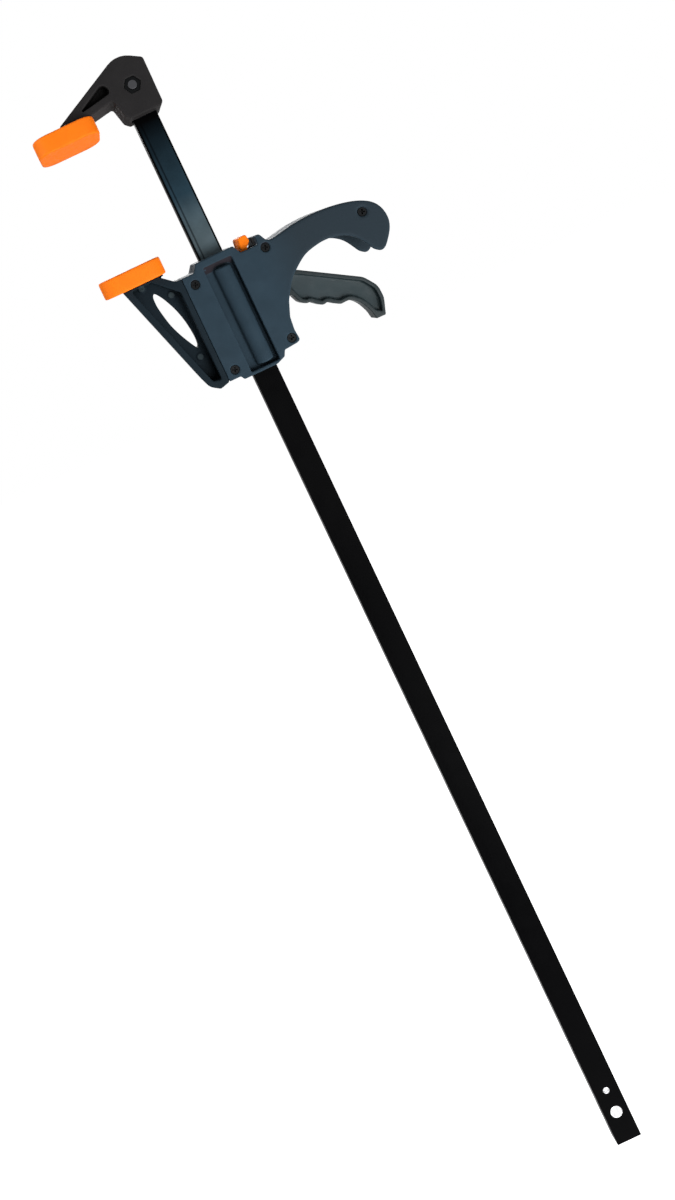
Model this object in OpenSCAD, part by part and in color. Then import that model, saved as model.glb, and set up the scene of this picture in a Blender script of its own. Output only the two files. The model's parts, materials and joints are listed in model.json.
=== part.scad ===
// Quick release bar clamp: a fixed jaw on a flat bar, and a trigger-driven head that slides on it.
// The origin is the centre of the fixed pad's clamping face. +Z runs along the bar, away from the
// moving jaw, +X points from the pads to the bar and the grip, and Y is the clamp's thickness.

/* [Bar] */
// Width of the bar
bar_w = 17; // [15:0.5:19]
// Thickness of the bar
bar_t = 5; // [4:0.5:6]
// Length of the bar
bar_len = 783; // [400:1:1000]
// Height of the bar's top end above the fixed pad's face
bar_top = 32.1; // [29:0.1:34]
// Diameter of the hanging hole near the bar's tail
hang_hole_d = 7.6; // [5:0.1:9]
// Distance of the hanging hole from the bar's end
hang_hole_end = 20.5; // [12:0.5:26]
// Diameter of the stop pin hole near the bar's tail
stop_hole_d = 4; // [3:0.1:5]
// Distance of the stop pin hole from the bar's end
stop_hole_end = 36.2; // [32:0.1:60]

/* [Jaws and pads] */
// Distance between the bar's axis and the middle of the pads
reach = 54; // [50:0.5:64]
// Distance between the two pads' faces, which is the opening that the clamp is drawn at
gap = 88.3; // [5:0.1:400]
// Length of a pad along the jaw
pad_len = 43.5; // [40:0.5:48]
// Width of a pad across the jaw
pad_w = 38; // [34:0.5:44]
// Thickness of a pad
pad_t = 12; // [11:0.1:13]
// Radius of a pad's corners
pad_r = 10; // [3:0.5:12]
// Rubber under the jaw's foot, at the clamping face
pad_face_t = 4.2; // [3:0.1:5]
// Rubber beside and behind the jaw's foot
pad_side_t = 2.2; // [1.5:0.1:3]
// Thickness of both jaws
jaw_t = 22; // [20:0.5:24.5]
// Half width of the neck that carries a jaw's foot
foot_neck = 8; // [5:0.5:10]
// Thickness of the web inside the jaws
web_t = 7; // [4:0.5:10]

/* [Head] */
// Overall thickness of the two shells at their flat sides
head_t = 25; // [24:0.5:28]
// Wall of the shells
wall = 2.8; // [2:0.1:3.2]
// Height of the head from its shoulder to its lower end
body_h = 76; // [72:0.5:90]
// Height of the shoulder above the lower end of the casing's left flank
flank_h = 73.3; // [70:0.1:74]
// Height of the casing's right corner above the lower end of its left flank
corner_rise = 4.4; // [3:0.1:8]
// Thickness of the casing's floor, which the drive springs stand on
floor_t = 8; // [6:0.1:9]
// Distance between the bar's axis and the casing's right flank
flank_x = 27; // [26:0.5:30]
// Height of the neck above the shoulder
neck_h = 5.2; // [4:0.1:7]
// Width of the jaw's tongue between the shells
tongue_w = 10.3; // [9.5:0.1:12]
// Depth of the recess beside the half-round ridge
recess_depth = 4.3; // [3:0.1:4.6]
// Half width of the recess
recess_x = 10.1; // [9.5:0.1:10.6]
// Wall of the half-round ridge over a drive spring
ridge_wall = 1.5; // [1.2:0.1:2]
// Distance between the bar's axis and the grip's outer end
grip_reach = 112.8; // [100:0.1:130]

/* [Drive] */
// Outer diameter of the two drive springs, one on each flat side of the bar
drive_spring_d = 8.4; // [7:0.1:9]
// Wire diameter of the drive springs
drive_wire = 1.2; // [0.8:0.1:1.4]
// Turns of each drive spring
drive_turns = 11; // [6:1:13]
// Distance of the drive springs from the bar's axis, towards the trigger
drive_spring_x = 1.8; // [0:0.1:2]
// Thickness of each drive plate
drive_plate_t = 2.5; // [1.5:0.1:3.5]
// Width of the drive and brake plates across the clamp
plate_w = 12.2; // [11:0.1:12.4]
// Thickness of the plate that the drive springs push up against the drive plates
spring_plate_t = 1.2; // [0.8:0.1:1.5]
// Distance between the trigger's pivot and the middle of its nose
nose_arm = 14; // [12:0.5:15]
// Radius of the trigger's nose
nose_r = 3; // [2.5:0.1:3.4]
// Angle that a full squeeze turns the trigger
squeeze_angle = 25; // [15:1:28]
// Width of the trigger
trigger_w = 9; // [8:0.5:11]
// Width of the trigger's rim, seen from the side
trigger_rim = 2.7; // [2:0.1:3.5]
// Thickness of the web inside the trigger's rim
trigger_web = 3; // [2:0.5:5]
// Diameter of the trigger's pin
trigger_pin_d = 4; // [3:0.1:5]

/* [Brake] */
// Thickness of the brake plate
brake_plate_t = 3; // [2:0.1:3.5]
// Tilt of the brake plate where it grips the bar
brake_tilt = 7; // [5:0.5:8]
// Diameter of the pin that the brake plate bears on
brake_pin_d = 3; // [2.5:0.1:3.4]
// Wire diameter of the brake spring
brake_wire = 1; // [0.6:0.1:1.2]
// Outer diameter of the brake spring
brake_spring_d = 9; // [7:0.1:10]
// Turns of the brake spring
brake_turns = 6; // [4:1:8]
// Length of the release button along the jaw
button_len = 6.6; // [6:0.1:8]
// Width of the release button across the clamp
button_w = 16.8; // [16:0.2:18]
// Height of the release button above the neck
button_h = 3; // [2.5:0.1:5]

/* [Screws] */
// Diameter of the shell screws
screw_d = 3; // [2.5:0.1:3.4]
// Diameter of the shell screws' heads
screw_head_d = 5.5; // [5:0.1:6.2]
// Height of the shell screws' heads
screw_head_h = 2.2; // [1.5:0.1:2.4]
// Depth of the recess over each screw
screw_recess = 3; // [2.6:0.1:3.4]
// Diameter of the jaw bolt
bolt_d = 6; // [5:0.1:7]
// Width of the jaw bolt's head and nut across their flats
bolt_flats = 10; // [9:0.1:11]
// Height of the jaw bolt's nut
nut_h = 5; // [4:0.1:5.4]
// Height of the jaw bolt's head
bolt_head_h = 4; // [3:0.1:5]

/* [Clearances] */
// Radial clearance of pins and screws in their holes
pin_clear = 0.05; // [0.02:0.01:0.1]
// Clearance of the bar in the jaw and of each plate at rest
snug = 0.08; // [0.05:0.01:0.15]
// Clearance of the bar in the sliding head
slide_clear = 0.3; // [0.2:0.05:0.5]
// Clearance between moulded pieces that don't move on each other
seat = 0.2; // [0.1:0.05:0.3]
// Room left beside and between moving pieces
free = 0.5; // [0.4:0.05:0.8]
// Gap between pieces that bear on each other
touch = 0.05; // [0.03:0.01:0.08]

/* [Hidden] */
$fn = 48;

shell_color = [0.22, 0.27, 0.32];
jaw_color = [0.17, 0.17, 0.18];
trigger_color = [0.20, 0.20, 0.21];
orange = [1.0, 0.48, 0.14];
steel = [0.66, 0.67, 0.70];
bar_color = [0.06, 0.06, 0.07];
eps = 0.01;

// The drive springs lie clear of the bar's slot, and a ridge on each shell goes around its spring
drive_spring_y = bar_t / 2 + slide_clear + 0.4 + drive_spring_d / 2;
spring_room_r = drive_spring_d / 2 + free;
ridge_r = spring_room_r + ridge_wall;
side_y = head_t / 2;
room_y = side_y - wall;
core_y = plate_w / 2 + 0.3;
core_x = recess_x + wall - 0.3;
neck_x = core_x + 0.4;

// Heights in the head are measured from the moving pad's clamping face, and are negative downwards
neck_z = -(pad_t + 2.8);
shoulder_z = neck_z - neck_h;
floor_z = shoulder_z - body_h;
flank_z = shoulder_z - flank_h;
corner_z = flank_z + corner_rise;
floor_room_z = floor_z + floor_t;
recess_top_z = shoulder_z - 4.5;
recess_low_z = floor_z + 2.1;
recess_slope_h = 5;
ridge_end_z = recess_low_z + 2.4;
ridge_taper = 0.8;

// The moving jaw's tongue lies between the shells, left of the bar
tongue_x = -(core_x + 2.6);
seam_x = tongue_x - tongue_w;

// Brake: the plate hangs under the pin and tilts about it
brake_pin_x = -(bar_w / 2 + brake_pin_d / 2 + 2.4);
brake_pin_z = shoulder_z - 5.1;
brake_top = -(brake_pin_d / 2 + touch);
brake_bottom = brake_top - brake_plate_t;
brake_plate_start = tongue_x + free - brake_pin_x;
partition_z = brake_pin_z - 13.5;
partition_t = 3;
partition_x = flank_x - 3;
// Ends of the plate's window, so that both its edges just clear the bar at the brake's tilt
window_x0 = (-bar_w / 2 - snug - brake_pin_x + brake_bottom * sin(brake_tilt)) / cos(brake_tilt);
window_x1 = (bar_w / 2 + snug - brake_pin_x + brake_top * sin(brake_tilt)) / cos(brake_tilt);
button_x = bar_w / 2 + 14;
button_top_z = neck_z + button_h;
button_low_z = shoulder_z + 0.6;
button_saddle_z = shoulder_z - 5.3;
brake_plate_end = button_x + 2 - brake_pin_x;
brake_spring_x = button_x - 4.2;
ear_x = button_x + 6.4;
// The notch that the button stands in is deeper between the shells' outer walls than in them
notch_low_x = button_x - button_len / 2 - 2.8;
notch_wall_z = shoulder_z - 0.8;
notch_room_z = shoulder_z - 3;

// Drive: the trigger's nose presses the plates down the bar, against the spring
pivot_x = bar_w / 2 + nose_r + 1 + nose_arm;
pivot_z = partition_z - partition_t - 9;
nose_x = -nose_arm * cos(squeeze_angle / 2);
nose_z = nose_arm * sin(squeeze_angle / 2);
drive_top_z = pivot_z + nose_z - nose_r - touch;
drive_low_z = drive_top_z - 2 * drive_plate_t;
spring_plate_z = drive_low_z - spring_plate_t;
drive_x0 = -(bar_w / 2 + 3.3);
drive_x1 = pivot_x + nose_x + 4.2;
boss_r = 6.4;
trigger_half = trigger_w / 2;

// Centres of the shell screws in the head
screw_spots = [
    [tongue_x - 3.7, shoulder_z - 7.2],
    [tongue_x - 4, flank_z + 5.6],
    [ear_x + 3.4, shoulder_z - 4.6],
    [flank_x - 4.2, flank_z + 8.6],
    [grip_reach - 14, shoulder_z - 10.5]
];
screw_boss_d = screw_d + 3.4;
screw_recess_d = screw_head_d + 0.7;
collar_d = screw_recess_d + 2.4;
collar_h = 1.3;
screw_tip_y = room_y - 1.5;

// The fixed jaw, measured from the bar's axis and the fixed pad's face
bolt_z = bar_top - 12.7;
jaw_low_z = -0.4;
jaw_right_x = bar_w / 2 + 4.8;
jaw_left_x = -(bar_w / 2 + 5.3);
nut_pocket = nut_h + 1;
head_pocket = bolt_head_h + 1;

// ---- Shapes ----

function unit(v) = v / norm(v);

// Points of a corner at p, between neighbours a and b, rounded to radius r
function corner_arc(a, p, b, r, steps) =
    let (u = unit(a - p), v = unit(b - p), half = acos(u * v) / 2)
    let (back = r / tan(half), c = p + unit(u + v) * r / sin(half))
    let (s = p + u * back - c, e = p + v * back - c)
    let (from = atan2(s[1], s[0]), turn = atan2(e[1], e[0]) - from)
    let (sweep = turn > 180 ? turn - 360 : turn < -180 ? turn + 360 : turn)
    [for (i = [0:steps]) c + r * [cos(from + sweep * i / steps), sin(from + sweep * i / steps)]];

function xy(v) = [v[0], v[1]];

// A closed outline from corners of [x, z] or [x, z, radius]
function rounded(corners, steps = 5) =
    let (n = len(corners))
    [for (i = [0:n - 1])
        let (k = corners[i], a = corners[(i + n - 1) % n], b = corners[(i + 1) % n])
        each (len(k) > 2 ? corner_arc(xy(a), xy(k), xy(b), k[2], steps) : [k])];

// A smooth curve through points
function smooth(p, steps = 5) =
    [for (i = [0:len(p) - 2], s = [0:steps - 1])
        let (a = p[max(i - 1, 0)], b = p[i], c = p[i + 1], d = p[min(i + 2, len(p) - 1)], t = s / steps)
        b + 0.5 * t * (c - a + t * (2 * a - 5 * b + 4 * c - d + t * (3 * b - a - 3 * c + d))),
     p[len(p) - 1]];

function left_of(v) = [-v[1], v[0]];

// A line of points moved sideways by d, to the right of its direction
function beside(p, d) =
    [for (i = [0:len(p) - 1])
        let (u = unit(p[min(i + 1, len(p) - 1)] - p[max(i - 1, 0)]))
        p[i] - left_of(u) * d];

// An outline in X and Z, given thickness from y0 to y1
module slab(points, y0, y1)
    translate([0, y1, 0]) rotate([90, 0, 0]) linear_extrude(y1 - y0) polygon(points);

module box(x, y, z)
    translate([x[0], y[0], z[0]]) cube([x[1] - x[0], y[1] - y[0], z[1] - z[0]]);

// A cylinder along Y, centred at [x, z]
module rod(at, d, y0, y1, sides = 48)
    translate([at[0], y1, at[1]]) rotate([90, 0, 0]) cylinder(d = d, h = y1 - y0, $fn = sides);

module both_sides() {
    children();
    mirror([0, 1, 0]) children();
}

module on_bar() translate([reach, 0, 0]) children();
module on_head() translate([reach, 0, -gap]) children();

// A coil of round wire between two heights. Its first and last turns lie flat.
module coil(d, wire, turns, z0, z1, rings_per_turn = 12, sides = 8) {
    rings = turns * rings_per_turn;
    end_pitch = wire * 1.1;
    pitch = (z1 - z0 - wire - 2 * end_pitch) / (turns - 2);
    function height(n) = end_pitch * (min(n, 1) + max(n - turns + 1, 0))
        + pitch * min(max(n - 1, 0), turns - 2);
    points = [for (i = [0:rings], k = [0:sides - 1])
        let (n = i / rings_per_turn, a = 360 * n, b = 360 * k / sides, r = d / 2 + wire / 2 * cos(b))
        [r * cos(a), r * sin(a), z0 + wire / 2 + height(n) + wire / 2 * sin(b)]];
    faces = [
        [for (k = [sides - 1:-1:0]) k],
        for (i = [0:rings - 1], k = [0:sides - 1])
            let (a = i * sides + k, b = i * sides + (k + 1) % sides) [a, b, b + sides, a + sides],
        [for (k = [0:sides - 1]) rings * sides + k]
    ];
    polyhedron(points, faces, convexity = 10);
}

// ---- Bar and fixed jaw ----

module bar() color(bar_color) on_bar() difference() {
    box([-bar_w / 2, bar_w / 2], [-bar_t / 2, bar_t / 2], [bar_top - bar_len, bar_top]);
    rod([0, bolt_z], bolt_d + 2 * pin_clear, -bar_t, bar_t);
    rod([0, bar_top - bar_len + hang_hole_end], hang_hole_d, -bar_t, bar_t);
    rod([0, bar_top - bar_len + stop_hole_end], stop_hole_d, -bar_t, bar_t);
}

// The plate that a pad is stretched over, with z0 its face towards the work
module foot(z0, up, neck_x0, neck_end_z) {
    half = pad_len / 2 - pad_side_t - seat;
    deep = pad_w / 2 - pad_side_t - seat;
    thick = pad_t - pad_face_t - pad_side_t - 2 * seat;
    low = up > 0 ? z0 : z0 - thick;
    corner = max(pad_r - pad_side_t, 1);
    translate([-reach, 0, low]) linear_extrude(thick)
        polygon(rounded([[-half, -deep, corner], [half, -deep, corner],
            [half, deep, corner], [-half, deep, corner]]));
    box([neck_x0, -reach + half], [-foot_neck, foot_neck], up > 0 ? [z0, neck_end_z] : [neck_end_z, z0]);
}

arm_x = -reach - 0.5;
arm_z = pad_t + 0.1;
arm_rise = 27.2;
arm_tip_z = arm_z + 2.4;
crest = [-1.4, arm_tip_z + (-1.4 - arm_x) * tan(arm_rise)];

module fixed_jaw() color(jaw_color) on_bar() difference() {
    union() {
        slab(rounded([
            [jaw_left_x + 4.2, jaw_low_z, 1.5], [jaw_right_x, jaw_low_z, 3],
            [jaw_right_x + 0.4, bar_top + 0.8, 2.5],
            concat(crest, 16), [arm_x, arm_tip_z, 1], [arm_x, arm_z],
            [arm_x + 20, arm_z], [jaw_left_x - 2.2, arm_z + 3.2, 1.8], [jaw_left_x + 0.8, jaw_low_z + 3.1, 3]
        ]), -jaw_t / 2, jaw_t / 2);
        foot(pad_face_t + seat, 1, arm_x + 1, arm_z + 1);
    }
    box([-bar_w / 2 - snug, bar_w / 2 + snug], [-bar_t / 2 - snug, bar_t / 2 + snug],
        [jaw_low_z - 1, bar_top + seat]);
    rod([0, bolt_z], bolt_d + 2 * pin_clear, -jaw_t, jaw_t);
    rod([0, bolt_z], (bolt_flats + 2 * seat) / cos(30), -jaw_t, -jaw_t / 2 + nut_pocket, 6);
    rod([0, bolt_z], (bolt_flats + 2 * seat) / cos(30), jaw_t / 2 - head_pocket, jaw_t, 6);
    both_sides() slab(rounded([
        [arm_x + 13.5, arm_z + 3.8, 0.8], [jaw_left_x - 0.4, arm_z + 8.6, 2.6],
        [jaw_left_x - 4, arm_z + 16.6, 3.4]
    ]), -jaw_t, -web_t / 2);
}

module jaw_bolt() color(steel) on_bar() {
    rod([0, bolt_z], bolt_d, -jaw_t / 2 + 0.3, jaw_t / 2 - head_pocket);
    rod([0, bolt_z], bolt_flats / cos(30), jaw_t / 2 - head_pocket, jaw_t / 2 - head_pocket + bolt_head_h, 6);
}

module jaw_nut() color(steel) on_bar() difference() {
    rod([0, bolt_z], bolt_flats / cos(30), -jaw_t / 2 + nut_pocket - nut_h, -jaw_t / 2 + nut_pocket, 6);
    rod([0, bolt_z], bolt_d + 2 * pin_clear, -jaw_t, jaw_t);
}

// A rubber cap with its clamping face at z = 0 and its body above it. It is stretched over the jaw's
// foot through the slot in its back, which starts at slot_x.
module pad(slot_x) difference() {
    half = pad_len / 2;
    deep = pad_w / 2;
    end = half - pad_side_t;
    inside = deep - pad_side_t;
    room_r = max(pad_r - pad_side_t, 1);
    linear_extrude(pad_t) polygon(rounded([[-half, -deep, pad_r], [half, -deep, pad_r],
        [half, deep, pad_r], [-half, deep, pad_r]], 8));
    translate([0, 0, pad_face_t]) linear_extrude(pad_t - pad_face_t - pad_side_t)
        polygon(rounded([[-end, -inside, room_r], [end, -inside, room_r],
            [end, inside, room_r], [-end, inside, room_r]]));
    box([slot_x - seat, end], [-foot_neck - seat, foot_neck + seat], [pad_face_t, pad_t + 1]);
}

module fixed_pad() color(orange) pad(arm_x + 1 + reach);

module moving_pad() color(orange) translate([0, 0, -gap]) mirror([0, 0, 1]) pad(jaw_top_x0 + 2 + reach);

// ---- Moving jaw ----

jaw_top_x0 = -reach - 9.3;
jaw_top_x1 = -reach + 15.2;
jaw_foot_z = -(pad_t + 0.1);
jaw_half = side_y - 0.1;
jaw_edge = [[jaw_top_x0, jaw_foot_z], [seam_x - 15.9, flank_z + 10.2]];
// Round marks that the mould's ejector pins leave on the web
mark_spots = [
    [seam_x - 25.5, shoulder_z + 5.1], [seam_x - 9.5, shoulder_z - 7], [seam_x - 9.5, shoulder_z - 52]
];
mark_d = 4.5;
mark_h = 0.6;

module moving_jaw() color(shell_color) on_head() difference() {
    union() {
        slab(rounded([
            jaw_edge[0], jaw_edge[1], [seam_x - 13.4, flank_z + 2.4, 8], [seam_x - 7.1, flank_z - 1.8, 1.5],
            [seam_x - seat, flank_z], [seam_x - seat, shoulder_z, 0.5], [seam_x - 4.4, shoulder_z + 0.3, 2],
            [jaw_top_x1, jaw_foot_z, 0.5]
        ]), -jaw_half, jaw_half);
        slab([[seam_x - 1, shoulder_z - wall - seat], [tongue_x, shoulder_z - wall - seat],
            [tongue_x, flank_z + wall + seat], [seam_x - 1, flank_z + wall + seat]],
            -room_y + touch, room_y - touch);
        foot(-pad_face_t - seat, -1, jaw_top_x0 + 2, jaw_foot_z - 1);
    }
    both_sides() difference() {
        slab(rounded([
            [seam_x - 32.8, jaw_foot_z - 1.5, 1], [seam_x - 9.8, flank_z + 4.8, 1.5],
            [seam_x - 3.9, flank_z + 3.3, 1], [seam_x - 3.9, shoulder_z - 7.6, 2],
            [seam_x - 18.8, jaw_foot_z - 1.5, 1.5]
        ]), -side_y - 1, -web_t / 2);
        for (spot = mark_spots)
            rod(spot, mark_d, -web_t / 2 - mark_h, 0);
    }
    slab(lens(), -side_y, side_y);
    for (spot = [screw_spots[0], screw_spots[1]])
        rod(spot, screw_boss_d + 2 * seat, -side_y, side_y);
    both_sides() for (spot = [screw_spots[0], screw_spots[1]])
        rod(spot, collar_d + 2 * seat, -side_y, -room_y + collar_h + seat);
}

// The lens-shaped window through the jaw's web
function lens() = let (x = seam_x, z = shoulder_z)
    let (top = [x - 19.2, z - 1.6], tip = [x - 8, z - 46])
    concat(
        smooth([top, [x - 17, z - 4.2], [x - 13.8, z - 9.9], [x - 10.3, z - 18.6], [x - 8, z - 28],
            [x - 6.9, z - 37.6], [x - 7.1, z - 43.6], tip]),
        smooth([tip - [0.7, 0.2], [x - 11.6, z - 40.9], [x - 15.3, z - 33.2], [x - 18.6, z - 24],
            [x - 21, z - 11.5], [x - 21.1, z - 4.5], top - [0.9, 0.1]])
    );

// ---- Shells ----

// Grip: from the ear beside the button, along the top and around the end to the hook's inner corner
function grip_back() = let (x = grip_reach, z = shoulder_z) smooth([
    [ear_x + 5.7, z + 0.2], [ear_x + 8.3, z - 1.2], [x - 70, z - 0.6], [x - 57, z + 1.6], [x - 44, z + 2.3],
    [x - 31, z + 1.4], [x - 20, z - 0.6], [x - 11.5, z - 3.5], [x - 5, z - 7.6], [x - 1.2, z - 13.4],
    [x, z - 20.5], [x - 1.4, z - 26.5], [x - 4.8, z - 32], [x - 9.6, z - 37.4], [x - 13.3, z - 38.6],
    [x - 17.4, z - 35.5]
]);
// Underside: from the hook's inner corner to the trigger's opening
function grip_under() = let (x = grip_reach, z = shoulder_z) smooth([
    [x - 17.4, z - 35.5], [x - 23, z - 25.9], [x - 29, z - 20.7], [x - 36, z - 17.9],
    [x - 42.3, z - 17.1],
    [x - 49.1, z - 17.5], [x - 58.8, z - 20], [x - 67.5, z - 25.8], [flank_x + 11.8, z - 31.6],
    [flank_x + 4.6, z - 42.3]
]);
function flank() = [[flank_x + 0.7, shoulder_z - 52], [flank_x - 0.3, shoulder_z - 60.5]];

// The casing's outline, clockwise from the top of the neck
function casing() = concat(
    rounded_run([[neck_x, neck_z], [ear_x, neck_z], [ear_x + 3.2, neck_z]], 2),
    grip_back(), [for (i = [1:len(grip_under()) - 1]) grip_under()[i]], flank(),
    [[flank_x + 0.2, corner_z + 1.6], [flank_x - 0.4, corner_z + 0.5], [flank_x - 2.2, corner_z - 0.2],
     [bar_w / 2 + 7, corner_z - 1], [bar_w / 2 + 5, corner_z - 4.8], [bar_w / 2 - 1, floor_z],
     [-neck_x - 3, floor_z], [-neck_x - 4.6, flank_z], [seam_x, flank_z],
     [seam_x, shoulder_z], [-neck_x - 3.8, shoulder_z], [-neck_x, neck_z]]
);
function rounded_run(p, r) =
    concat([p[0], p[1]], corner_arc(p[1], p[2], [ear_x + 5.7, shoulder_z + 0.2], r, 4));

// Room inside the grip, open along its underside and under its hook
function grip_room() = let (back = beside(grip_back(), wall))
    concat([for (p = back) if (p[1] > shoulder_z - 28) p],
        [[grip_reach - 10, shoulder_z - 44], [grip_reach - 20, shoulder_z - 44]], beside(grip_under(), -1),
        [[flank_x - wall - 1, shoulder_z - 42], [flank_x - wall - 1, shoulder_z - wall]]);

// The half-round ridge over a drive spring, tapered at both ends
module ridge() let (h = recess_top_z + 0.5 - ridge_end_z, r = ridge_r, t = ridge_taper)
    translate([drive_spring_x, -drive_spring_y, ridge_end_z]) rotate_extrude($fn = 96)
        polygon([[0, 0], [r - t, 0], [r, t], [r, h - t], [r - t, h], [0, h]]);

// The front half of the casing, without its screw holes
module half_shell() {
    spots = screw_spots;
    difference() {
        union() {
            difference() {
                slab(casing(), -side_y, 0);
                slab_recess();
            }
            ridge();
        }
        // Room between the flat sides, except around the bar
        difference() {
            union() {
                box([seam_x - 1, 0], [-room_y, 1], [flank_z + wall, shoulder_z - wall]);
                box([0, flank_x - wall], [-room_y, 1], [corner_z + wall - 0.6, shoulder_z - wall]);
                slab(grip_room(), -room_y, 1);
            }
            box([-core_x, core_x], [-side_y, 2], [floor_z, neck_z]);
        }
        // Room around the bar for the plates, and beside it for a spring
        box([-core_x - eps, core_x + eps], [-core_y, 1], [floor_room_z, shoulder_z - wall + 1]);
        translate([drive_spring_x, -drive_spring_y, floor_room_z])
            cylinder(r = spring_room_r, h = partition_z - partition_t - floor_room_z, $fn = 96);
        // Slot for the bar through the neck and the floor
        box([-bar_w / 2 - slide_clear, bar_w / 2 + slide_clear], [-bar_t / 2 - slide_clear, 1],
            [floor_z - 1, neck_z + 1]);
        notch(notch_wall_z, -side_y - 1);
        notch(notch_room_z, -room_y);
    }
    difference() {
        union() {
            // Partition between brake and drive, which also guides the bar
            for (x = [[tongue_x + seat, -core_x + 1], [core_x - 1, partition_x]])
                box(x, [-room_y - eps, 0], [partition_z - partition_t, partition_z]);
            box([-core_x, core_x], [-core_y - eps, 0], [partition_z - partition_t, partition_z]);
            // Stop over the drive plates' left end
            box([-core_x - eps, drive_x0 + 2.2], [-core_y - eps, 0],
                [drive_top_z + touch, partition_z - partition_t + eps]);
            for (spot = spots)
                rod(spot, screw_boss_d, -room_y - eps, 0);
            for (spot = spots)
                rod(spot, collar_d, -room_y - eps, -room_y + collar_h);
            rod([pivot_x, pivot_z], trigger_pin_d + 5, -room_y - eps, -trigger_half - 0.3);
            rod([brake_pin_x, brake_pin_z], brake_pin_d + 1.4, -room_y - eps, -core_y);
        }
        box([-bar_w / 2 - slide_clear, bar_w / 2 + slide_clear], [-bar_t / 2 - slide_clear, 1],
            [floor_z - 1, neck_z + 1]);
    }
}

// The notch for the button, down to low_z, with its left side sloped
module notch(low_z, y0)
    slab(rounded([[neck_x - 0.6, neck_z + 2], [notch_low_x, low_z, 1.5],
        [ear_x, low_z, 1.5], [ear_x, neck_z + 2]]), y0, 1);

// The recess beside the ridge, with a sloped top
module slab_recess() {
    deep = side_y - recess_depth;
    translate([-recess_x, 0, 0]) rotate([90, 0, 90]) linear_extrude(2 * recess_x)
        polygon([[-side_y - 1, recess_low_z], [-deep, recess_low_z], [-deep, recess_top_z],
            [-side_y, recess_top_z + recess_slope_h], [-side_y - 1, recess_top_z + recess_slope_h]]);
}

module pin_holes() {
    rod([pivot_x, pivot_z], trigger_pin_d + 2 * pin_clear, -room_y - 1.5, 1);
    rod([brake_pin_x, brake_pin_z], brake_pin_d + 2 * pin_clear, -room_y - 1.5, 1);
}

module front_shell() color(shell_color) on_head() difference() {
    half_shell();
    pin_holes();
    for (spot = screw_spots) {
        rod(spot, screw_recess_d, -side_y - 1, -side_y + screw_recess);
        rod(spot, screw_d + 2 * pin_clear, -side_y, 1);
    }
}

module rear_shell() color(shell_color) on_head() mirror([0, 1, 0]) difference() {
    half_shell();
    pin_holes();
    for (spot = screw_spots)
        rod(spot, screw_d + 2 * pin_clear, -screw_tip_y - seat, 1);
}

module shell_screws() color(bar_color) on_head() for (spot = screw_spots) difference() {
    low = -side_y + screw_recess;
    union() {
        rod(spot, screw_head_d, low - screw_head_h, low);
        rod(spot, screw_d, low, screw_tip_y);
    }
    for (turn = [0, 90])
        translate([spot[0], low - screw_head_h, spot[1]]) rotate([0, turn + 20, 0])
            box([-screw_head_d * 0.32, screw_head_d * 0.32], [-1, 1.3], [-0.45, 0.45]);
}

// ---- Trigger and drive ----

// Outline of the lever, measured from its pivot: along the top and round to the cut end, then back
// along the finger grips
function lever_back(end) = rounded_open(concat([[4, 5.5], [19.8, 3.7, 8], [58.2, -19.8, 9], [64.2, -28.4, 9],
    [65, -36.7, 12]], [end]));
function lever_fingers() = smooth([[54.3, -48.3], [53.5, -43.5], [51.9, -39.2], [50.3, -36], [48, -33],
    [44.6, -30.2], [41.2, -29.4], [37.4, -29.6], [33.6, -27.4], [30, -24.8], [26.2, -25], [22.6, -22.4],
    [19.7, -19.9], [16.6, -19.4], [13.2, -16.6], [11, -11.2]], 3);
function rounded_open(corners) = let (n = len(corners))
    [for (i = [0:n - 1]) each (i == 0 || i == n - 1 ? [xy(corners[i])]
        : corner_arc(xy(corners[i - 1]), xy(corners[i]), xy(corners[i + 1]), corners[i][2], 4))];

module trigger() color(trigger_color) on_head() translate([pivot_x, 0, pivot_z]) difference() {
    union() {
        slab(concat(lever_back([61, -48.5]), lever_fingers(), [[3, -6]]), -trigger_half, trigger_half);
        rod([0, 0], 2 * boss_r, -trigger_half, trigger_half);
        rod([nose_x, nose_z], 2 * nose_r, -trigger_half, trigger_half);
        slab([[nose_x, nose_z + nose_r], [nose_x + nose_r - 0.4, nose_z - 1.8], [-5, nose_z - 1.8], [0, -3],
            [0, boss_r]], -trigger_half, trigger_half);
    }
    both_sides() slab(trigger_pocket(), -trigger_w, -trigger_web / 2);
    rod([0, 0], trigger_pin_d + 2 * pin_clear, -trigger_w, trigger_w);
}

// The sunk panel on each side of the lever, one rim inside its outline
function trigger_pocket() =
    let (back = beside(lever_back([62.5, -46.2]), trigger_rim), fingers = lever_fingers())
    concat([[boss_r + 2.8, back[1][1]]], [for (i = [1:len(back) - 1]) back[i]],
        beside([for (i = [3:len(fingers) - 1]) fingers[i]], trigger_rim));

module trigger_pin() color(steel) on_head()
    rod([pivot_x, pivot_z], trigger_pin_d, -room_y - 1.3, room_y + 1.3);

module drive_plate(top_z) difference() {
    box([drive_x0, drive_x1], [-plate_w / 2, plate_w / 2], [top_z - drive_plate_t, top_z]);
    box([-bar_w / 2 - snug, bar_w / 2 + snug], [-bar_t / 2 - snug, bar_t / 2 + snug],
        [top_z - drive_plate_t - 1, top_z + 1]);
}
module upper_drive_plate() color(steel) on_head() drive_plate(drive_top_z);
module lower_drive_plate() color(steel) on_head() drive_plate(drive_top_z - drive_plate_t);

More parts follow.
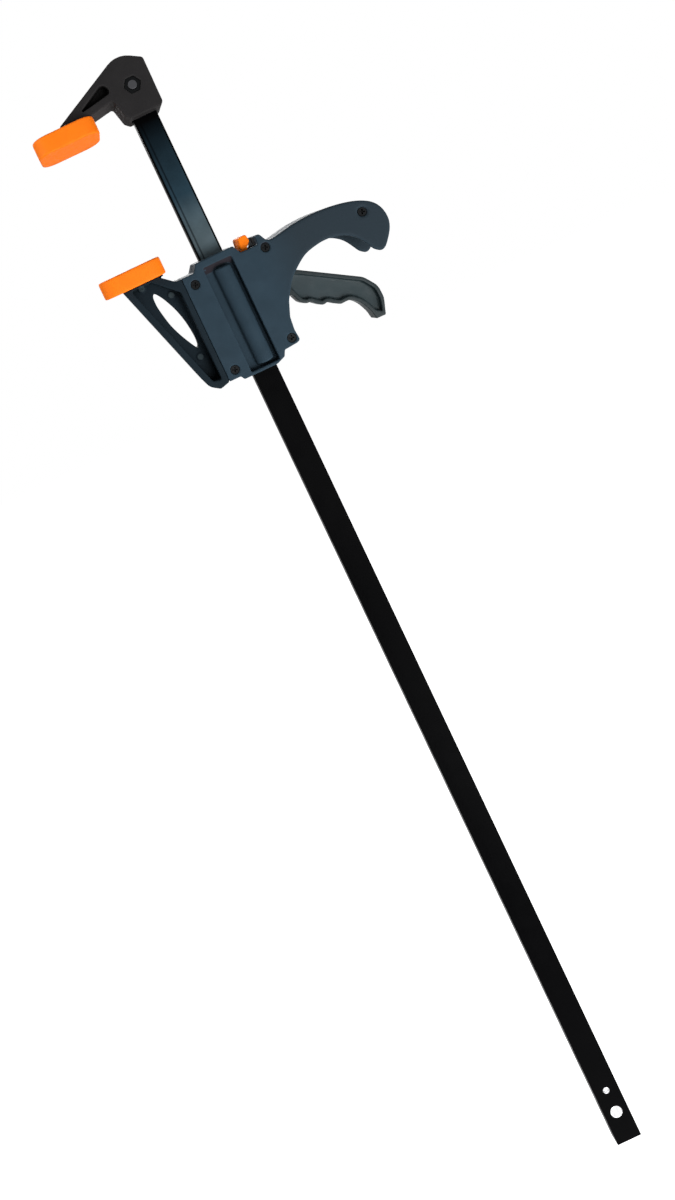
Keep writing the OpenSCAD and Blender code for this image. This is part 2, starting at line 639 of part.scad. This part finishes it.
// The plate around the bar that carries the drive plates, with a round lobe over each drive spring
module spring_plate() color(steel) on_head() difference() {
    union() {
        box([drive_x0, bar_w / 2 + 3.3], [-plate_w / 2, plate_w / 2], [spring_plate_z, drive_low_z]);
        both_sides() translate([drive_spring_x, -drive_spring_y, spring_plate_z])
            cylinder(d = drive_spring_d, h = spring_plate_t);
    }
    box([-bar_w / 2 - snug, bar_w / 2 + snug], [-bar_t / 2 - snug, bar_t / 2 + snug],
        [spring_plate_z - 1, drive_low_z + 1]);
}

module drive_springs() color(steel) on_head() both_sides() translate([drive_spring_x, -drive_spring_y, 0])
    coil(drive_spring_d - drive_wire, drive_wire, drive_turns, floor_room_z + touch, spring_plate_z - touch);

// ---- Brake ----

module at_brake() translate([brake_pin_x, 0, brake_pin_z]) rotate([0, -brake_tilt, 0]) children();

module brake_plate() color(steel) on_head() at_brake() difference() {
    box([brake_plate_start, brake_plate_end], [-plate_w / 2, plate_w / 2], [brake_bottom, brake_top]);
    box([window_x0, window_x1], [-bar_t / 2 - snug, bar_t / 2 + snug], [brake_bottom - 1, brake_top + 1]);
}

module brake_pin() color(steel) on_head()
    rod([brake_pin_x, brake_pin_z], brake_pin_d, -room_y - 1.3, room_y + 1.3);

module brake_spring() color(steel) on_head() translate([brake_spring_x, 0, 0])
    coil(brake_spring_d - brake_wire, brake_wire, brake_turns, partition_z + touch,
        brake_pin_z + (brake_spring_x - brake_spring_d / 2 - brake_pin_x) * tan(brake_tilt)
        + brake_bottom / cos(brake_tilt) - touch, sides = 6);

module release_button() color(orange) on_head() difference() {
    low_x = button_x - button_len / 2;
    high_x = button_x + button_len / 2;
    union() {
        slab(rounded([[low_x + 0.2, button_top_z, 1.5], [high_x - 0.6, button_top_z + 0.4, 1.5],
            [high_x, button_low_z + 3, 2], [high_x - 2.6, button_low_z, 1.5],
            [low_x - 0.8, button_low_z, 1]]), -button_w / 2, button_w / 2);
        box([low_x - 0.4, button_x], [-button_w / 2, button_w / 2], [button_saddle_z, button_low_z + 2]);
    }
    at_brake() box([0, brake_plate_end + 5], [-plate_w / 2 - snug, plate_w / 2 + snug],
        [brake_bottom - 20, brake_top + touch]);
}

bar();
fixed_jaw();
jaw_bolt();
jaw_nut();
fixed_pad();
front_shell();
rear_shell();
shell_screws();
moving_jaw();
moving_pad();
trigger();
trigger_pin();
upper_drive_plate();
lower_drive_plate();
spring_plate();
drive_springs();
brake_plate();
brake_pin();
brake_spring();
release_button();
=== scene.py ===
"""Looks of the quick release bar clamp: moulded nylon, rubber pads, black bar with a painted sheen, camera
and studio.
"""
import json
import math

import bpy
from mathutils import Matrix, Vector


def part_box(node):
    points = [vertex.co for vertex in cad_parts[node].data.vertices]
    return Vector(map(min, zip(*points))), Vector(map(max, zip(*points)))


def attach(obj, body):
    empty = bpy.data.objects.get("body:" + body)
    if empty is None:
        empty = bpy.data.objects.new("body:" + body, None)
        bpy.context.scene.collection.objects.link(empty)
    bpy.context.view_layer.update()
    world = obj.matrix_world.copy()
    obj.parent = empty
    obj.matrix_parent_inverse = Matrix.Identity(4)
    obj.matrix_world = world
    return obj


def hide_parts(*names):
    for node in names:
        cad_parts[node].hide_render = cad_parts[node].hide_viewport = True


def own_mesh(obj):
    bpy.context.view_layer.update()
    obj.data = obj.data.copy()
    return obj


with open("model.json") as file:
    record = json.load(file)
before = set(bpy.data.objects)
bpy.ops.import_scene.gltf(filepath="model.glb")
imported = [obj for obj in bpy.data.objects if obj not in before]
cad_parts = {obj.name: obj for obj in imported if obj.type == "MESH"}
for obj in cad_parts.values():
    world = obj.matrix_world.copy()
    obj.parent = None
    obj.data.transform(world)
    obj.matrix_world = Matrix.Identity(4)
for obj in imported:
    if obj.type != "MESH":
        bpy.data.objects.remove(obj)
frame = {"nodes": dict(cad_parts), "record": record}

NODES = frame["nodes"]
RECORD = frame["record"]
BODY_OF = {node: body for body, nodes in RECORD["behaviour"]["bodies"].items() for node in nodes}
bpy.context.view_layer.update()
MM = 0.001


# ---- Places that several pieces share, from the frame ----

BAR_LOW, BAR_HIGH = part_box("bar")
HEAD_LOW, HEAD_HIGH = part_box("front_shell")
PAD_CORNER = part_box("moving_pad")[1]
BAR_X = (BAR_LOW.x + BAR_HIGH.x) / 2
# Where the casing has narrowed into the grip
GRIP_X = BAR_X + 42 * MM
# Lowest and highest point of the slope at the top of the casing's recess
SLOPE_LOW, SLOPE_HIGH = PAD_CORNER.z - 25.2 * MM, PAD_CORNER.z - 19.2 * MM
# X and Z of the ejector pins' marks on the moving jaw, in mm from its pad's high corner
EJECTOR_OFFSETS = ((-18.75, -14.9), (-2.75, -27), (-2.75, -72))
EJECTOR_RADIUS = 2.1 * MM
# X, Z and radius of the holes at the bar's tail
BAR_HOLES = [(mount["pos_m"][0], mount["pos_m"][2], mount["dims"]["r_mm"] * MM)
             for mount in RECORD["mounts"] if mount["kind"] == "bore"]


# ---- Camera ----

CAMERA_AT = Vector((-0.018, -0.391, -0.0907))
CAMERA_ROLL = math.radians(25.34)
# Focal length and sensor width in mm
CAMERA_LENS = 17.6
CAMERA_SENSOR = 36
CAMERA_SHIFT = (0.1940, -0.2622)


def make_camera():
    data = bpy.data.cameras.new("camera")
    data.lens = CAMERA_LENS
    data.sensor_width = CAMERA_SENSOR
    data.sensor_fit = "AUTO"
    data.shift_x, data.shift_y = CAMERA_SHIFT
    data.clip_start = 0.01
    camera = bpy.data.objects.new("camera", data)
    bpy.context.scene.collection.objects.link(camera)
    right = Vector((math.cos(CAMERA_ROLL), 0, -math.sin(CAMERA_ROLL)))
    up = Vector((math.sin(CAMERA_ROLL), 0, math.cos(CAMERA_ROLL)))
    turn = Matrix((right, up, (0, -1, 0))).transposed()
    camera.matrix_world = Matrix.Translation(CAMERA_AT) @ turn.to_4x4()
    bpy.context.scene.camera = camera


# ---- Studio ----

WORLD_LEVEL = 0.14
FLOOR_Z = -1.25
FLOOR_REACH = 4.0
FLOOR_COLOR = (0.8, 0.8, 0.8, 1)
FLOOR_GLOW = 0.94


def shows_to_eye(tree):
    """1 for camera, glossy and transmission rays, 0 for the rays that light the object."""
    path = tree.nodes.new("ShaderNodeLightPath")
    total = path.outputs["Is Camera Ray"]
    for name in ("Is Glossy Ray", "Is Transmission Ray"):
        larger = tree.nodes.new("ShaderNodeMath")
        larger.operation = "MAXIMUM"
        tree.links.new(total, larger.inputs[0])
        tree.links.new(path.outputs[name], larger.inputs[1])
        total = larger.outputs[0]
    return total


def make_world():
    """White to the eye, and a low even light on the object."""
    world = bpy.data.worlds.new("studio")
    bpy.context.scene.world = world
    world.use_nodes = True
    tree = world.node_tree
    tree.nodes.clear()
    out = tree.nodes.new("ShaderNodeOutputWorld")
    mix = tree.nodes.new("ShaderNodeMixShader")
    tree.links.new(shows_to_eye(tree), mix.inputs[0])
    for socket, strength in ((mix.inputs[1], WORLD_LEVEL), (mix.inputs[2], 1.0)):
        background = tree.nodes.new("ShaderNodeBackground")
        background.inputs["Color"].default_value = (1, 1, 1, 1)
        background.inputs["Strength"].default_value = strength
        tree.links.new(background.outputs[0], socket)
    tree.links.new(mix.outputs[0], out.inputs["Surface"])


def make_floor():
    """A pale floor that looks white and keeps the object's shadow."""
    mesh = bpy.data.meshes.new("floor")
    corners = [(x * FLOOR_REACH, y * FLOOR_REACH, FLOOR_Z) for x, y in ((-1, -1), (1, -1), (1, 1), (-1, 1))]
    mesh.from_pydata(corners, [], [(0, 1, 2, 3)])
    floor = bpy.data.objects.new("floor", mesh)
    bpy.context.scene.collection.objects.link(floor)
    material = bpy.data.materials.new("floor")
    material.use_nodes = True
    tree = material.node_tree
    tree.nodes.clear()
    out = tree.nodes.new("ShaderNodeOutputMaterial")
    both = tree.nodes.new("ShaderNodeAddShader")
    diffuse = tree.nodes.new("ShaderNodeBsdfDiffuse")
    diffuse.inputs["Color"].default_value = FLOOR_COLOR
    glow = tree.nodes.new("ShaderNodeEmission")
    level = tree.nodes.new("ShaderNodeMath")
    level.operation = "MULTIPLY"
    level.inputs[1].default_value = FLOOR_GLOW
    tree.links.new(shows_to_eye(tree), level.inputs[0])
    tree.links.new(level.outputs[0], glow.inputs["Strength"])
    tree.links.new(diffuse.outputs[0], both.inputs[0])
    tree.links.new(glow.outputs[0], both.inputs[1])
    tree.links.new(both.outputs[0], out.inputs["Surface"])
    mesh.materials.append(material)


def area_light(name, at, aim, size, power):
    data = bpy.data.lights.new(name, "AREA")
    data.shape = "DISK"
    data.size = size
    data.energy = power
    light = bpy.data.objects.new(name, data)
    bpy.context.scene.collection.objects.link(light)
    light.location = at
    light.rotation_euler = (Vector(aim) - Vector(at)).to_track_quat("-Z", "Y").to_euler()


def make_lights():
    area_light("key", at=(0.36, -0.86, -0.56), aim=(0.06, 0, -0.14), size=0.6, power=7.1)
    area_light("under", at=(0.45, -0.5, -0.85), aim=(0.0, 0, 0.0), size=0.7, power=8)
    area_light("left", at=(-0.35, -0.14, 0.06), aim=(-0.02, 0, -0.06), size=0.25, power=0.9)
    area_light("fill", at=(-0.7, -0.7, 0.9), aim=(0.05, 0, -0.1), size=1.0, power=2.6)
    area_light("back", at=(0.3, 1.3, 0.5), aim=(0.05, 0, -0.25), size=1.0, power=16)


# ---- Materials ----

# Sockets of the Mix node when it mixes colours
MIX_BELOW, MIX_ABOVE, MIX_RESULT = 6, 7, 2
# Reach of the painted shade that darkens a crease, and a pocket as a whole
CREASE_REACH = 2.2 * MM
POCKET_REACH = 14 * MM


class Shader:
    """A material with one Principled shader, and short calls for the nodes that feed it."""

    def __init__(self, name, color, roughness, metallic=0.0, specular=0.5):
        self.material = bpy.data.materials.new(name)
        self.material.use_nodes = True
        self.tree = self.material.node_tree
        self.shader = self.tree.nodes["Principled BSDF"]
        self.set("Base Color", (*color, 1))
        self.set("Roughness", roughness)
        self.set("Metallic", metallic)
        self.set("Specular IOR Level", specular)
        coordinates = self.tree.nodes.new("ShaderNodeTexCoord").outputs
        self.place = coordinates["Object"]
        self.facing = coordinates["Normal"]

    def set(self, socket, value):
        self.shader.inputs[socket].default_value = value

    def feed(self, socket, value):
        self.tree.links.new(value, self.shader.inputs[socket])

    def along(self, axis, vector=None):
        """One axis of a vector, or of the place on the object."""
        node = self.tree.nodes.new("ShaderNodeSeparateXYZ")
        self.tree.links.new(vector or self.place, node.inputs[0])
        return node.outputs[axis]

    def stretched(self, scale):
        """The object's own coordinates, stretched by a factor each way."""
        node = self.tree.nodes.new("ShaderNodeMapping")
        node.inputs["Scale"].default_value = scale
        self.tree.links.new(self.place, node.inputs["Vector"])
        return node.outputs[0]

    def noise(self, size, detail, place=None):
        """Cloudy noise with features of a size in metres."""
        node = self.tree.nodes.new("ShaderNodeTexNoise")
        node.inputs["Scale"].default_value = 1 / size
        node.inputs["Detail"].default_value = detail
        self.tree.links.new(place or self.place, node.inputs["Vector"])
        return node.outputs["Fac"]

    def grain(self, size):
        """Small rounded cells, like a spark-eroded mould."""
        node = self.tree.nodes.new("ShaderNodeTexVoronoi")
        node.inputs["Scale"].default_value = 1 / size
        self.tree.links.new(self.place, node.inputs["Vector"])
        return node.outputs["Distance"]

    def pointiness(self):
        return self.tree.nodes.new("ShaderNodeNewGeometry").outputs["Pointiness"]

    def openness(self, reach):
        """1 on open faces, less in corners and pockets closer than reach."""
        node = self.tree.nodes.new("ShaderNodeAmbientOcclusion")
        node.samples = 8
        node.only_local = True
        node.inputs["Distance"].default_value = reach
        return node.outputs["AO"]

    def ranged(self, value, low, high, to_low=0.0, to_high=1.0):
        node = self.tree.nodes.new("ShaderNodeMapRange")
        node.inputs["From Min"].default_value = low
        node.inputs["From Max"].default_value = high
        node.inputs["To Min"].default_value = to_low
        node.inputs["To Max"].default_value = to_high
        self.tree.links.new(value, node.inputs["Value"])
        return node.outputs[0]

    def cloudy(self, size, detail, low=0.0, high=1.0):
        """Clouds with features of a size in metres, from one value to another."""
        return self.ranged(self.noise(size, detail), 0.3, 0.7, low, high)

    def joined(self, operation, one, other):
        node = self.tree.nodes.new("ShaderNodeMath")
        node.operation = operation
        self.tree.links.new(one, node.inputs[0])
        self.tree.links.new(other, node.inputs[1])
        return node.outputs[0]

    def product(self, one, other):
        return self.joined("MULTIPLY", one, other)

    def larger(self, one, other):
        return self.joined("MAXIMUM", one, other)

    def band(self, value, low_out, low_in, high_in, high_out):
        """1 from low_in to high_in, fading to 0 at low_out and high_out."""
        return self.product(self.ranged(value, low_out, low_in), self.ranged(value, high_out, high_in))

    def disc(self, x, z, radius, fade=0.05 * MM):
        """1 inside a round spot in X and Z, 0 outside."""
        node = self.tree.nodes.new("ShaderNodeVectorMath")
        node.operation = "DISTANCE"
        self.tree.links.new(self.stretched((1, 0, 1)), node.inputs[0])
        node.inputs[1].default_value = (x, 0, z)
        return self.ranged(node.outputs["Value"], radius + fade, radius - fade)

    def mixed(self, amount, below, above):
        """A colour between two, each a colour or an output."""
        node = self.tree.nodes.new("ShaderNodeMix")
        node.data_type = "RGBA"
        self.tree.links.new(amount, node.inputs["Factor"])
        for socket, value in ((node.inputs[MIX_BELOW], below), (node.inputs[MIX_ABOVE], above)):
            if isinstance(value, tuple):
                socket.default_value = (*value, 1)
            else:
                self.tree.links.new(value, socket)
        return node.outputs[MIX_RESULT]

    def bump(self, *layers):
        """Bump from (height, strength, depth in metres), one over the other."""
        normal = None
        for height, strength, depth in layers:
            node = self.tree.nodes.new("ShaderNodeBump")
            node.inputs["Strength"].default_value = strength
            node.inputs["Distance"].default_value = depth
            self.tree.links.new(height, node.inputs["Height"])
            if normal:
                self.tree.links.new(normal, node.inputs["Normal"])
            normal = node.outputs["Normal"]
        self.feed("Normal", normal)


def scaled(color, factor):
    return tuple(channel * factor for channel in color)


def nylon(name, color, roughness=0.5, specular=0.02, grain=0.35 * MM, depth=0.03 * MM, mottle=0.10,
          edge=1.2, crease=0.3, marks=None):
    """Moulded nylon: fine spark grain, cloudy flow marks, painted shade in creases and pockets, and a
    painted highlight on convex edges (painted shade there when edge is below 1).
    """
    s = Shader(name, color, roughness, specular=specular)
    body = s.mixed(s.cloudy(14 * MM, 4), scaled(color, 1 - mottle), scaled(color, 1 + mottle))
    # marks adds the jaw's ejector marks, and painted shade on the casing's slope and the trigger's rims
    if marks:
        body = marks(s, body)
    # Painted shade: the colour falls to crease times its own in creases and pockets, where shade falls
    out_of_crease = s.ranged(s.openness(CREASE_REACH), 0.5, 0.88)
    out_of_pocket = s.ranged(s.openness(POCKET_REACH), 0.25, 0.55)
    with_painted_shade = s.mixed(s.product(out_of_crease, out_of_pocket), scaled(color, crease), body)
    # Painted highlight on convex edges where edge is above 1, painted shade where it is below 1, as on the
    # trigger
    painted_edge_tone = s.ranged(s.pointiness(), 0.505, 0.57)
    s.feed("Base Color", s.mixed(painted_edge_tone, with_painted_shade, scaled(color, edge)))
    s.feed("Roughness", s.cloudy(5 * MM, 5, roughness - 0.06, roughness + 0.08))
    s.bump((s.noise(2.5 * MM, 2), 0.25, 0.04 * MM), (s.grain(grain), 0.35, depth))
    return s.material


def grip_tone_and_slope_shade(s, body):
    """A greyer grip, and painted shade on the slope at the top of the recess where it faces down: darker
    and less blue.
    """
    grip_grey, painted_slope_shade = (0.0225, 0.0330, 0.0422), (0.021, 0.0185, 0.023)
    grip = s.ranged(s.along("X"), GRIP_X - 16 * MM, GRIP_X + 12 * MM)
    fade = 0.6 * MM
    slope = s.band(s.along("Z"), SLOPE_LOW, SLOPE_LOW + fade, SLOPE_HIGH - fade, SLOPE_HIGH)
    looks_down = s.ranged(s.along("Z", s.facing), -0.25, -0.5)
    # Painted shade on the downward-facing slope
    return s.mixed(s.product(looks_down, slope), s.mixed(grip, body, grip_grey), painted_slope_shade)


def ejector_marks(s, body):
    """Paler discs where the mould's pins pushed the jaw out."""
    mark_grey = (0.036, 0.050, 0.056)
    for x, z in EJECTOR_OFFSETS:
        mark = s.disc(PAD_CORNER.x + x * MM, PAD_CORNER.z + z * MM, EJECTOR_RADIUS)
        body = s.mixed(mark, body, mark_grey)
    return body


def trigger_painted_shade(s, body):
    """Painted shade on the trigger: rims darker than the sunk web between them, and the web darker towards
    the tip.
    """
    tip_painted_shade, rim_painted_shade = (0.0135, 0.0240, 0.0270), (0.0125, 0.0195, 0.0215)
    tip = s.ranged(s.along("X"), GRIP_X + 10 * MM, GRIP_X + 50 * MM)
    side = s.along("Y")
    rim = s.ranged(s.product(side, side), (2.5 * MM) ** 2, (3.5 * MM) ** 2)
    # Painted shade on the rims and towards the tip
    return s.mixed(rim, s.mixed(tip, body, tip_painted_shade), rim_painted_shade)


def rubber(name, color):
    """Soft matte rubber with a fine, uneven skin."""
    s = Shader(name, color, 0.62, specular=0.12)
    s.feed("Base Color", s.mixed(s.cloudy(9 * MM, 4), scaled(color, 0.93), scaled(color, 1.05)))
    s.feed("Roughness", s.cloudy(3 * MM, 4, 0.55, 0.70))
    s.bump((s.noise(3 * MM, 2), 0.2, 0.04 * MM), (s.noise(0.3 * MM, 3), 0.15, 0.02 * MM))
    return s.material


def black_with_painted_sheen():
    """The bar's black finish with a painted bluish reflection between the jaws, paler near the head; dark
    along the edges, bare metal in the holes.
    """
    black, blue, painted_pale_sheen = (0.0012, 0.0012, 0.0014), (0.021, 0.044, 0.062), (0.100, 0.138, 0.156)
    bare_metal = (0.93, 0.93, 0.94)
    s = Shader("black_with_painted_sheen", black, 0.25, specular=0.005)
    across, height = s.along("X"), s.along("Z")
    near_head = s.ranged(height, HEAD_HIGH.z + 45 * MM, HEAD_HIGH.z + 12 * MM)
    # The head hides the lower fade at rest
    between_jaws = s.band(height, HEAD_LOW.z, HEAD_HIGH.z - 15 * MM, -52 * MM, -4 * MM)
    off_edges = s.band(across, BAR_X - 7.4 * MM, BAR_X - 6.8 * MM, BAR_X + 7.1 * MM, BAR_X + 7.6 * MM)
    sheen_streak = s.band(across, BAR_X - 5.6 * MM, BAR_X - 5.1 * MM, BAR_X - 4.5 * MM, BAR_X - 4.0 * MM)
    sheen_patches = s.ranged(s.noise(20 * MM, 5), 0.35, 0.65, 0.7, 1.0)
    sheen_breakup = s.product(sheen_patches, s.ranged(sheen_streak, 0, 1, 1, 0.35))
    painted_sheen_mask = s.product(s.product(between_jaws, off_edges), sheen_breakup)
    # Painted reflection: a bluish sheen between the jaws, paler near the head, broken by patches and a
    # streak, off the dark edges
    color = s.mixed(painted_sheen_mask, black, s.mixed(near_head, blue, painted_pale_sheen))
    bare = None
    for x, z, radius in BAR_HOLES:
        wall = s.disc(x, z, radius + 0.1 * MM)
        color = s.mixed(wall, color, bare_metal)
        bare = s.larger(bare, wall) if bare else wall
    s.feed("Base Color", color)
    s.feed("Metallic", bare)
    s.feed("Roughness", s.cloudy(12 * MM, 5, 0.18, 0.32))
    s.bump((s.noise(0.5 * MM, 3, s.stretched((1, 1, 0.02))), 0.15, 0.01 * MM))
    return s.material


def steel(name, color, roughness):
    s = Shader(name, color, roughness, metallic=1.0)
    s.feed("Roughness", s.cloudy(1.5 * MM, 5, roughness - 0.07, roughness + 0.1))
    s.bump((s.noise(0.4 * MM, 4), 0.2, 0.01 * MM))
    return s.material


MATERIALS = {
    "grey_nylon": nylon("grey_nylon", (0.0240, 0.0412, 0.0567), marks=grip_tone_and_slope_shade),
    "black_nylon": nylon("black_nylon", (0.0215, 0.0205, 0.0210), roughness=0.55),
    "trigger_nylon": nylon("trigger_nylon", (0.0225, 0.036, 0.041), roughness=0.42, specular=0.12,
                           grain=0.5 * MM, edge=0.6, crease=0.12, marks=trigger_painted_shade),
    "jaw_nylon": nylon("jaw_nylon", (0.0108, 0.0173, 0.0230), marks=ejector_marks),
    "orange_rubber": rubber("orange_rubber", (0.95, 0.19, 0.006)),
    "orange_plastic": nylon("orange_plastic", (0.95, 0.20, 0.008), specular=0.03, depth=0.008 * MM,
                            mottle=0.04, edge=1.05, crease=0.7),
    "black_bar": black_with_painted_sheen(),
    "bright_steel": steel("bright_steel", (0.55, 0.56, 0.58), 0.32),
    "dark_steel": steel("dark_steel", (0.055, 0.056, 0.06), 0.5),
    "black_oxide": steel("black_oxide", (0.008, 0.0085, 0.009), 0.5),
    "spring_steel": steel("spring_steel", (0.38, 0.39, 0.41), 0.3),
}


# ---- Pieces ----

# A moulded piece's voxel size, the share of its faces that is kept, and its passes of smoothing
VOXEL = 0.45 * MM
KEPT_FACES = 0.22
EDGE_PASSES = 5
PAD_PASSES = 30
GRIP_PASSES = 50


def copy_of(node, name):
    piece = bpy.data.objects.new(name, NODES[node].data.copy())
    bpy.context.scene.collection.objects.link(piece)
    return piece


def dress(piece, look):
    piece.data.materials.clear()
    piece.data.materials.append(MATERIALS[look])


def stand_for(piece, node, slot, look=None):
    """Smooth shading and a material, on the node's body and in its place."""
    piece.data.polygons.foreach_set("use_smooth", [True] * len(piece.data.polygons))
    dress(piece, look or slot)
    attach(piece, BODY_OF[node])
    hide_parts(node)


def settled(piece):
    """Bakes a piece's modifiers into its mesh."""
    graph = bpy.context.evaluated_depsgraph_get()
    mesh = bpy.data.meshes.new_from_object(piece.evaluated_get(graph), depsgraph=graph)
    mesh.name = piece.name
    piece.modifiers.clear()
    piece.data = mesh


def smoothed(piece, passes, group=""):
    smooth = piece.modifiers.new("smooth", "SMOOTH")
    smooth.factor = 0.5
    smooth.iterations = passes
    smooth.vertex_group = group


def moulded(node, slot, passes=EDGE_PASSES, soft=None, look=None):
    """A CAD node as it comes out of a mould: every edge rounded, and more so where soft(point) nears 1."""
    piece = copy_of(node, node + "_moulded")
    remesh = piece.modifiers.new("remesh", "REMESH")
    remesh.mode = "VOXEL"
    remesh.voxel_size = VOXEL
    settled(piece)
    smoothed(piece, passes)
    if soft:
        group = piece.vertex_groups.new(name="soft")
        for vertex in piece.data.vertices:
            weight = soft(vertex.co)
            if weight > 0:
                group.add([vertex.index], weight, "REPLACE")
        smoothed(piece, GRIP_PASSES, "soft")
    thin = piece.modifiers.new("thin", "DECIMATE")
    thin.ratio = KEPT_FACES
    settled(piece)
    stand_for(piece, node, slot, look)


def step_up(value, low, high):
    """0 below low, 1 above high, smooth between."""
    t = min(max((value - low) / (high - low), 0.0), 1.0)
    return t * t * (3 - 2 * t)


def grip_softness(point):
    """1 on the grip's flanks, 0 on the casing and at the shells' seam."""
    return step_up(point.x, GRIP_X - 14 * MM, GRIP_X + 6 * MM) * step_up(abs(point.y), 3 * MM, 8 * MM)


def sharpened(node, look, width=0.25 * MM):
    """A CAD node that keeps its own mesh, with a small bevel and a new material."""
    piece = NODES[node]
    weld = piece.modifiers.new("weld", "WELD")
    weld.merge_threshold = 0.001 * MM
    flat = piece.modifiers.new("flat", "DECIMATE")
    flat.decimate_type = "DISSOLVE"
    flat.angle_limit = math.radians(0.5)
    bevel = piece.modifiers.new("bevel", "BEVEL")
    bevel.width = width
    bevel.segments = 2
    bevel.limit_method = "ANGLE"
    bevel.angle_limit = math.radians(40)
    dress(piece, look)


def spring(node):
    """The spring's own mesh, smooth-shaded in spring steel, on its node's body and in its place."""
    piece = copy_of(node, node + "_wire")
    stand_for(piece, node, "spring_steel")
    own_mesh(piece)


make_camera()
make_world()
make_floor()
make_lights()

moulded("front_shell", "grey_nylon", soft=grip_softness)
moulded("rear_shell", "grey_nylon", soft=grip_softness)
moulded("moving_jaw", "grey_nylon", look="jaw_nylon")
moulded("fixed_jaw", "black_nylon")
moulded("trigger", "trigger_nylon")
moulded("fixed_pad", "orange_rubber", PAD_PASSES)
moulded("moving_pad", "orange_rubber", PAD_PASSES)
moulded("release_button", "orange_plastic")
sharpened("bar", "black_bar", width=0.4 * MM)
sharpened("jaw_bolt", "dark_steel")
sharpened("jaw_nut", "black_oxide")
dress(NODES["shell_screws"], "black_oxide")
for inner in ("trigger_pin", "upper_drive_plate", "lower_drive_plate", "spring_plate", "brake_plate",
              "brake_pin"):
    dress(NODES[inner], "bright_steel")
spring("drive_springs")
spring("brake_spring")

bpy.context.scene.view_settings.view_transform = "Standard"
